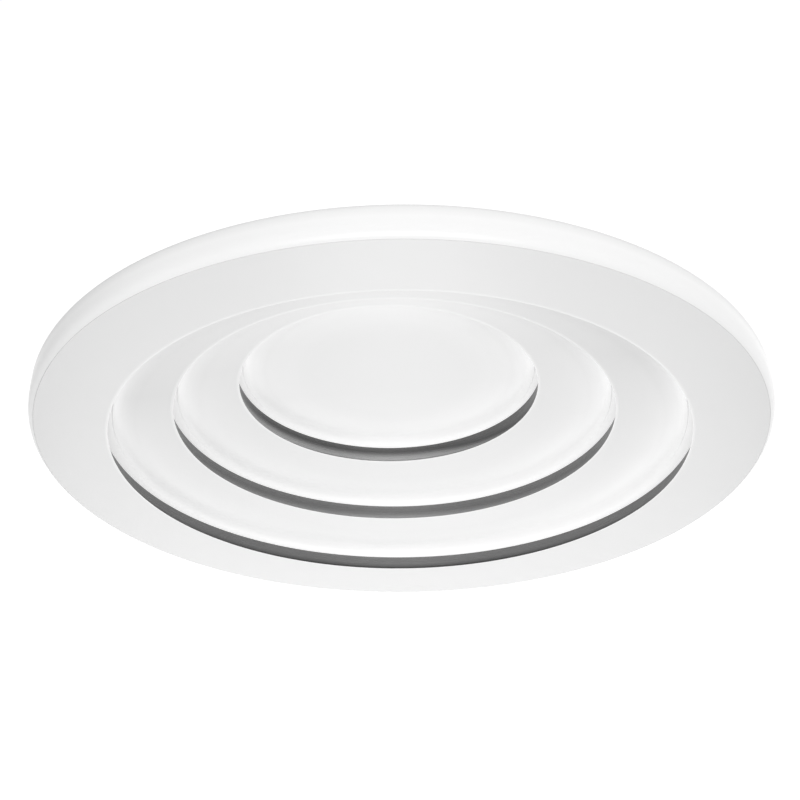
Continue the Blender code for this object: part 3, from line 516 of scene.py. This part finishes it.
COLLAR = (0.175, -0.038, -0.020)                  # inner radius, lowest and highest z
SLEEVE_TOP = -0.0335
CONE_FOOT = 0.232
FRAME_EDGE = 0.246
SWAGE = 0.0008                                    # height of the cone's pressed step
SCREW_RING = 0.2425
SCREW_ANGLES = (90.0, 210.0, 330.0)
SCREW_HOLE = 0.0014
THREAD_PITCH = 0.0008
PAN_HUB = 0.020                                   # radius of the first circle of the pan's back
BEAD_SLOPE = 0.0015
GROMMET_BORE = 0.007
SCREWS = (
    "frame_screw_1", "frame_screw_2", "frame_screw_3", "clamp_screw_left", "clamp_screw_right",
    "earth_screw", "driver_screw_left", "driver_screw_right", "tray_screw_1", "tray_screw_2",
    "tray_screw_3")


def combine(bm, tool, operation):
    """Boolean of two bmeshes, as a new bmesh."""
    objects = []
    for part in (bm, tool):
        bmesh.ops.recalc_face_normals(part, faces=part.faces)
        mesh = bpy.data.meshes.new("boolean_step")
        part.to_mesh(mesh)
        part.free()
        objects.append(bpy.data.objects.new("boolean_step", mesh))
        bpy.context.scene.collection.objects.link(objects[-1])
    modifier = objects[0].modifiers.new("boolean_step", "BOOLEAN")
    modifier.operation = operation
    modifier.solver = "EXACT"
    modifier.object = objects[1]
    bpy.context.view_layer.update()
    result = bmesh.new()
    result.from_object(objects[0], bpy.context.evaluated_depsgraph_get())
    for item in objects:
        mesh = item.data
        bpy.data.objects.remove(item)
        bpy.data.meshes.remove(mesh)
    return result


def add_prism(bm, outlines):
    """Solid through equal outlines of (x, y, z), closed at both ends."""
    loops = [[bm.verts.new(point) for point in outline] for outline in outlines]
    for first, second in zip(loops, loops[1:]):
        bridge(bm, first, second)
    bm.faces.new(loops[0])
    bm.faces.new(loops[-1])


def capsule(x, y, half_length, radius, z, angle=0.0, steps=8):
    """Outline with round ends, long in the direction of an angle."""
    points = []
    for side in (1.0, -1.0):
        for k in range(steps + 1):
            turn = math.pi * (k / steps - 0.5)
            points.append((side * (half_length + radius * math.cos(turn)), side * radius * math.sin(turn)))
    c, s = math.cos(math.radians(angle)), math.sin(math.radians(angle))
    return [(x + c * px - s * py, y + s * px + c * py, z) for px, py in points]


def add_arc(bm, inner, outer, low, high, middle, width, steps=12):
    """Flat arc-shaped tongue."""
    rows = []
    for radius, z in ((inner, low), (outer, low), (outer, high), (inner, high)):
        row = []
        for k in range(steps + 1):
            turn = math.radians(middle + width * (k / steps - 0.5))
            row.append(bm.verts.new((radius * math.cos(turn), radius * math.sin(turn), z)))
        rows.append(row)
    for row, other in zip(rows, rows[1:] + rows[:1]):
        bridge_open(bm, row, other)
    bm.faces.new([row[0] for row in rows])
    bm.faces.new([row[-1] for row in rows])


def bridge_open(bm, first, second):
    for i in range(len(first) - 1):
        bm.faces.new((first[i], first[i + 1], second[i + 1], second[i]))


def build_pan():
    """Pressed steel pan: two ring beads and ribs in its back, a hemmed skirt and bayonet lugs."""
    inner = PAN_RADIUS - STEEL
    hem = PAN_RADIUS - 2.0 * STEEL
    top = [(PAN_HUB, 0.0, 0.0, 0.0)]
    under = [(PAN_HUB, -STEEL, 0.0, 0.0)]
    for start, end in PAN_BEADS:
        for radius, drop in ((start, 0.0), (start + BEAD_SLOPE, BEAD), (end - BEAD_SLOPE, BEAD), (end, 0.0)):
            top.append((radius, -drop, 0.0, 0.0006))
            under.append((radius, -STEEL - drop, 0.0, 0.0006))
    skirt = [(PAN_RADIUS, 0.0, 0.0, PAN_CORNER), (PAN_RADIUS, -PAN_DEPTH, 0.0, 0.0005),
             (hem, -PAN_DEPTH, 0.0, 0.0005), (hem, -PAN_DEPTH + 0.003, 0.0, 0.0005),
             (inner, -PAN_DEPTH + 0.0035, 0.0, 0.0002), (inner, -STEEL, 0.0, PAN_CORNER - STEEL)]
    bm = ring_mesh(rounded(top + skirt + under[::-1]), FINE, True)
    lugs = bmesh.new()
    for angle in BAYONET_ANGLES:
        add_arc(lugs, *LUGS, angle, BAYONET_WIDTH)
    bm = combine(bm, lugs, "UNION")
    holes = bmesh.new()
    hole_y, hole_radius = CABLE_HOLE
    add_prism(holes, [capsule(0.0, hole_y, 0.0, hole_radius, z, steps=24) for z in (0.01, -0.01)])
    for x, y in SLOTS:
        add_prism(holes, [capsule(x, y, SLOT_HALF_LENGTH, SLOT_RADIUS, z) for z in (0.01, -0.01)])
    half = (RIB_RUN[1] - RIB_RUN[0]) / 2.0
    for angle in RIB_ANGLES:
        middle = Vector((sum(RIB_RUN) / 2.0, 0.0))
        middle.rotate(Matrix.Rotation(math.radians(angle), 2))
        add_prism(holes, [capsule(middle.x, middle.y, half - RIB_HALF_WIDTH, radius, z, angle)
                          for radius, z in ((RIB_HALF_WIDTH + 0.001, 0.0006), (RIB_HALF_WIDTH, 0.0),
                                            (RIB_HALF_WIDTH - 0.0008, -BEAD))])
    bm = combine(bm, holes, "DIFFERENCE")
    mesh_piece("pressed_pan", bm, PAINT, "pan", "ceiling_pan", 25.0)


def build_frame():
    """Drawn steel cone behind the panels, with a pressed step round it and a sleeve for the collar."""
    foot = face_z(0) + RIM_HEIGHT + GAP
    sleeve = COLLAR[0] + STEEL + GAP
    start = Vector((sleeve + STEEL, COLLAR[1] + STEEL))
    end = Vector((CONE_FOOT, foot + STEEL))
    run = end - start
    up = Vector((-run.y, run.x)).normalized()
    outside = []
    inside = []
    for share, lift in ((0.28, 0.0), (0.33, SWAGE), (0.64, SWAGE), (0.69, 0.0)):
        point = start + run * share + up * lift
        outside.append((*point, 0.0, 0.0015))
        inside.append((*(point - up * STEEL), 0.0, 0.0015))
    section = [(sleeve, SLEEVE_TOP, 0.0, 0.0003), (sleeve + STEEL, SLEEVE_TOP, 0.0, 0.0003),
               (*start, 0.0, 0.0006)] + outside
    section += [(*end, 0.0, 0.0015), (FRAME_EDGE, foot + STEEL, 0.0, 0.0004), (FRAME_EDGE, foot, 0.0, 0.0004),
                (CONE_FOOT - STEEL, foot, 0.0, 0.0008)] + inside[::-1] + [(sleeve, COLLAR[1], 0.0, 0.0)]
    bm = ring_mesh(rounded(section))
    holes = bmesh.new()
    for angle in SCREW_ANGLES:
        turn = math.radians(angle)
        x, y = SCREW_RING * math.cos(turn), SCREW_RING * math.sin(turn)
        add_prism(holes, [capsule(x, y, 0.0, SCREW_HOLE, foot + z) for z in (0.004, -0.002)])
    bm = combine(bm, holes, "DIFFERENCE")
    mesh_piece("drawn_front_frame", bm, PAINT, "front", "front_frame", 30.0)


def build_collar():
    """Rolled collar with the bayonet's tabs."""
    inner, low, high = COLLAR
    section = [(inner, high, 0.0, 0.0004), (inner + STEEL, high, 0.0, 0.0004),
               (inner + STEEL, low, 0.0, 0.0003), (inner, low, 0.0, 0.0003)]
    bm = ring_mesh(rounded(section))
    tabs = bmesh.new()
    for angle in BAYONET_ANGLES:
        add_arc(tabs, *TABS, angle, BAYONET_WIDTH)
    bm = combine(bm, tabs, "UNION")
    mesh_piece("rolled_collar", bm, PAINT, "front", "bayonet_collar", 30.0)


def build_screw(node):
    """Pan-head screw with a cross recess and a threaded shank, where the CAD screw is."""
    low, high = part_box(node)
    x, y = (low[0] + high[0]) / 2.0, (low[1] + high[1]) / 2.0
    spots = [(math.hypot(v.co.x - x, v.co.y - y), v.co.z) for v in NODES[node].data.vertices]
    head = max(radius for radius, _ in spots)
    shank = min(radius for radius, _ in spots)
    head_z = [z for radius, z in spots if radius > 0.95 * head]
    upward = sum(head_z) / len(head_z) > (low[2] + high[2]) / 2.0
    sign = 1.0 if upward else -1.0
    seat = min(head_z) if upward else max(head_z)
    tall = max(head_z) - min(head_z)
    length = (high[2] - low[2]) - tall
    turns = int(length / THREAD_PITCH)
    pitch = length / turns
    root = 0.84 * shank
    section = [(0.45 * head, tall), (0.72 * head, 0.9 * tall), (0.92 * head, 0.66 * tall),
               (head, 0.35 * tall), (head, 0.04 * tall), (0.97 * head, 0.0), (root, 0.0)]
    for k in range(turns - 1):
        section += [(root, -(k + 0.25) * pitch), (shank, -(k + 0.6) * pitch), (root, -(k + 0.95) * pitch)]
    section.append((0.4 * shank, -length))
    bm = ring_mesh([(radius, z, 0.0) for radius, z in section], 24, True)
    recess = bmesh.new()
    for angle in (0.0, 90.0):
        arm = bmesh.new()
        add_prism(arm, [capsule(0.0, 0.0, reach * head, 0.11 * head, z, angle, 3)
                        for reach, z in ((0.46, 1.3 * tall), (0.40, tall), (0.16, 0.3 * tall))])
        recess = combine(recess, arm, "UNION") if recess.faces else arm
    bm = combine(bm, recess, "DIFFERENCE")
    for vert in bm.verts:
        vert.co = Vector((vert.co.x + x, vert.co.y + y, seat + sign * vert.co.z))
    mesh_piece(node + "_cross_head", bm, ZINC, BODY_OF[node], node, 40.0)


def build_grommet():
    """Rubber grommet with a rounded lead-in and a soft flange."""
    hole_y, hole_radius = CABLE_HOLE
    low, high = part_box("cable_grommet")
    neck = hole_radius - GAP
    flange = (high[0] - low[0]) / 2.0
    seat = -STEEL - GAP
    section = rounded([
        (neck, high[2], 0.0, 0.0005), (neck, seat, 0.0, 0.0002), (flange, seat, 0.0, 0.0004),
        (flange, low[2], 0.0, 0.0009), (GROMMET_BORE, low[2], 0.0, 0.0009),
        (GROMMET_BORE, high[2], 0.0, 0.0009)], 5)
    bm = ring_mesh([(radius, z, hole_y) for radius, z, _ in section], 64)
    mesh_piece("moulded_grommet", bm, FINISHES["black_rubber"], "pan", "cable_grommet")


BODY_OF = {node: body for body, nodes in frame["record"]["behaviour"]["bodies"].items() for node in nodes}
build_pan()
build_frame()
build_collar()
build_grommet()
for node in SCREWS:
    build_screw(node)


# --- CAD parts that stay -------------------------------------------------------------------------

KEPT_BEVEL = 0.00025
SLOT_OF = {part["node"]: part["material_slot"] for part in frame["record"]["subparts"]}


def stripes():
    """Green sleeve with yellow lengthwise stripes."""
    made = Shader("green_yellow_sleeve_stripes", 0.5)
    wave = made.add("ShaderNodeTexWave")
    wave.inputs["Scale"].default_value = 260.0
    made.link(made.place, wave.inputs["Vector"])
    made.link(made.ramp(wave.outputs["Fac"], ((0.45, (0.12, 0.35, 0.04)), (0.55, (0.72, 0.66, 0.05)))),
              made.main.inputs["Base Color"])
    made.rough(made.noise(300.0), 0.4, 0.55)
    made.bump(made.noise(1100.0, 2.0), 0.1, 0.00005)
    return made.mat


FINISHES["green_yellow_sleeve"] = stripes()


def dress_kept_nodes():
    replaced = {"face_ring", "rim_diffuser", "ceiling_pan", "front_frame", "bayonet_collar", "cable_grommet"}
    replaced.update(SCREWS)
    replaced.update(label + part for label in LABELS[1:] for part in ("_trim_band", "_panel"))
    for name, node in NODES.items():
        if name in replaced:
            continue
        mat = FINISHES[SLOT_OF[name]]
        for slot in node.material_slots:
            slot.material = mat
        if not node.material_slots:
            node.data.materials.append(mat)
        bevel = node.modifiers.new("edge_wear", "BEVEL")
        bevel.width = KEPT_BEVEL
        bevel.segments = 2
        bevel.limit_method = "ANGLE"
        bevel.angle_limit = math.radians(40.0)


dress_kept_nodes()


# --- stage, light and camera ---------------------------------------------------------------------

STUDIO = 1.1
FLOOR_REACH = 60.0
FLOOR_Z = -2.5
DARK_SIDES = (                # direction, first and last cosine of the fade, loss
    ((-0.85, -0.25, 0.45), 0.45, 0.95, 0.75),
    ((0.85, -0.25, 0.45), 0.45, 0.95, 0.30),
)
CAMERA_AZIMUTH = math.radians(8.621)
CAMERA_BELOW = math.radians(27.284)
CAMERA_TILT = math.radians(30.689)
CAMERA_ROLL = math.radians(-0.357)
CAMERA_TURN = math.radians(0.083)
CAMERA_DISTANCE = 0.7710
CAMERA_LENS = 49.075


def build_camera():
    """Camera below the light, looking up at the same angle as the photograph."""
    flat = Vector((math.sin(CAMERA_AZIMUTH), -math.cos(CAMERA_AZIMUTH), 0.0))
    place = Vector((0.0, 0.0, BOTTOM)) + CAMERA_DISTANCE * (
        flat * math.cos(CAMERA_BELOW) - Vector((0.0, 0.0, math.sin(CAMERA_BELOW))))
    ahead = Matrix.Rotation(CAMERA_TURN, 3, "Z") @ -flat * math.cos(CAMERA_TILT)
    ahead += Vector((0.0, 0.0, math.sin(CAMERA_TILT)))
    right = ahead.cross(Vector((0.0, 0.0, 1.0))).normalized()
    up = right.cross(ahead)
    basis = Matrix((right, up, -ahead)).transposed().to_4x4()
    data = bpy.data.cameras.new("camera")
    data.lens = CAMERA_LENS
    data.sensor_width = 36.0
    data.clip_start = 0.01
    camera = bpy.data.objects.new("camera", data)
    camera.matrix_world = Matrix.Translation(place) @ basis @ Matrix.Rotation(CAMERA_ROLL, 4, "Z")
    bpy.context.scene.collection.objects.link(camera)
    bpy.context.scene.camera = camera


def area_light(name, place, target, size, power, glossy_only=False):
    """Elliptical softbox; a glossy_only one shows in reflections and lights nothing else."""
    data = bpy.data.lights.new(name, "AREA")
    data.shape = "ELLIPSE"
    data.size, data.size_y = size
    data.energy = power
    light = bpy.data.objects.new(name, data)
    aim = Vector(target) - Vector(place)
    light.visible_camera = False
    light.visible_diffuse = not glossy_only
    light.matrix_world = Matrix.Translation(place) @ aim.to_track_quat("-Z", "Y").to_matrix().to_4x4()
    bpy.context.scene.collection.objects.link(light)


def build_stage():
    bm = bmesh.new()
    bmesh.ops.create_grid(bm, x_segments=8, y_segments=8, size=FLOOR_REACH)
    mesh = bpy.data.meshes.new("floor")
    bm.to_mesh(mesh)
    bm.free()
    floor = bpy.data.objects.new("floor", mesh)
    floor.location.z = FLOOR_Z
    made = Shader("pale_floor", 0.8)
    made.tint(made.noise(3.0), (0.88, 0.88, 0.88), 0.01)
    made.rough(made.noise(40.0), 0.75, 0.9)
    mesh.materials.append(made.mat)
    bpy.context.scene.collection.objects.link(floor)
    build_world()
    bpy.context.scene.view_settings.view_transform = "Standard"
    away = Vector((-math.sin(CAMERA_AZIMUTH), math.cos(CAMERA_AZIMUTH), 0.0))
    place = 1.3 * away + Vector((0.0, 0.0, BOTTOM - 0.65))
    area_light("far_softbox", place, (0.0, 0.0, BOTTOM - 0.3), (1.5, 1.3), 4.9)
    place = 1.2 * away + Vector((0.0, 0.0, BOTTOM - 1.18))
    area_light("low_softbox", place, (0.0, 0.0, BOTTOM - 0.2), (0.45, 0.5), 1.1, True)
    place = -1.4 * away + Vector((0.0, 0.0, BOTTOM - 0.9))
    area_light("key_softbox", place, (0.0, 0.0, BOTTOM), (1.6, 0.8), 8.4)


def build_world():
    """White studio, a little darker to the left and right behind the camera."""
    world = bpy.data.worlds.new("studio")
    world.use_nodes = True
    tree = world.node_tree
    back = tree.nodes["Background"]
    back.inputs["Color"].default_value = (1.0, 1.0, 1.0, 1.0)
    place = tree.nodes.new("ShaderNodeTexCoord").outputs["Generated"]
    total = None
    for towards, low, high, loss in DARK_SIDES:
        dot = tree.nodes.new("ShaderNodeVectorMath")
        dot.operation = "DOT_PRODUCT"
        dot.inputs[1].default_value = Vector(towards).normalized()
        tree.links.new(place, dot.inputs[0])
        spread = tree.nodes.new("ShaderNodeMapRange")
        spread.interpolation_type = "SMOOTHSTEP"
        for label, value in (("From Min", low), ("From Max", high), ("To Min", 0.0), ("To Max", loss)):
            spread.inputs[label].default_value = value
        tree.links.new(dot.outputs["Value"], spread.inputs["Value"])
        less = tree.nodes.new("ShaderNodeMath")
        less.operation = "SUBTRACT"
        less.inputs[0].default_value = STUDIO
        if total:
            tree.links.new(total, less.inputs[0])
        tree.links.new(spread.outputs["Result"], less.inputs[1])
        total = less.outputs["Value"]
    tree.links.new(total, back.inputs["Strength"])
    bpy.context.scene.world = world


build_camera()
build_stage()
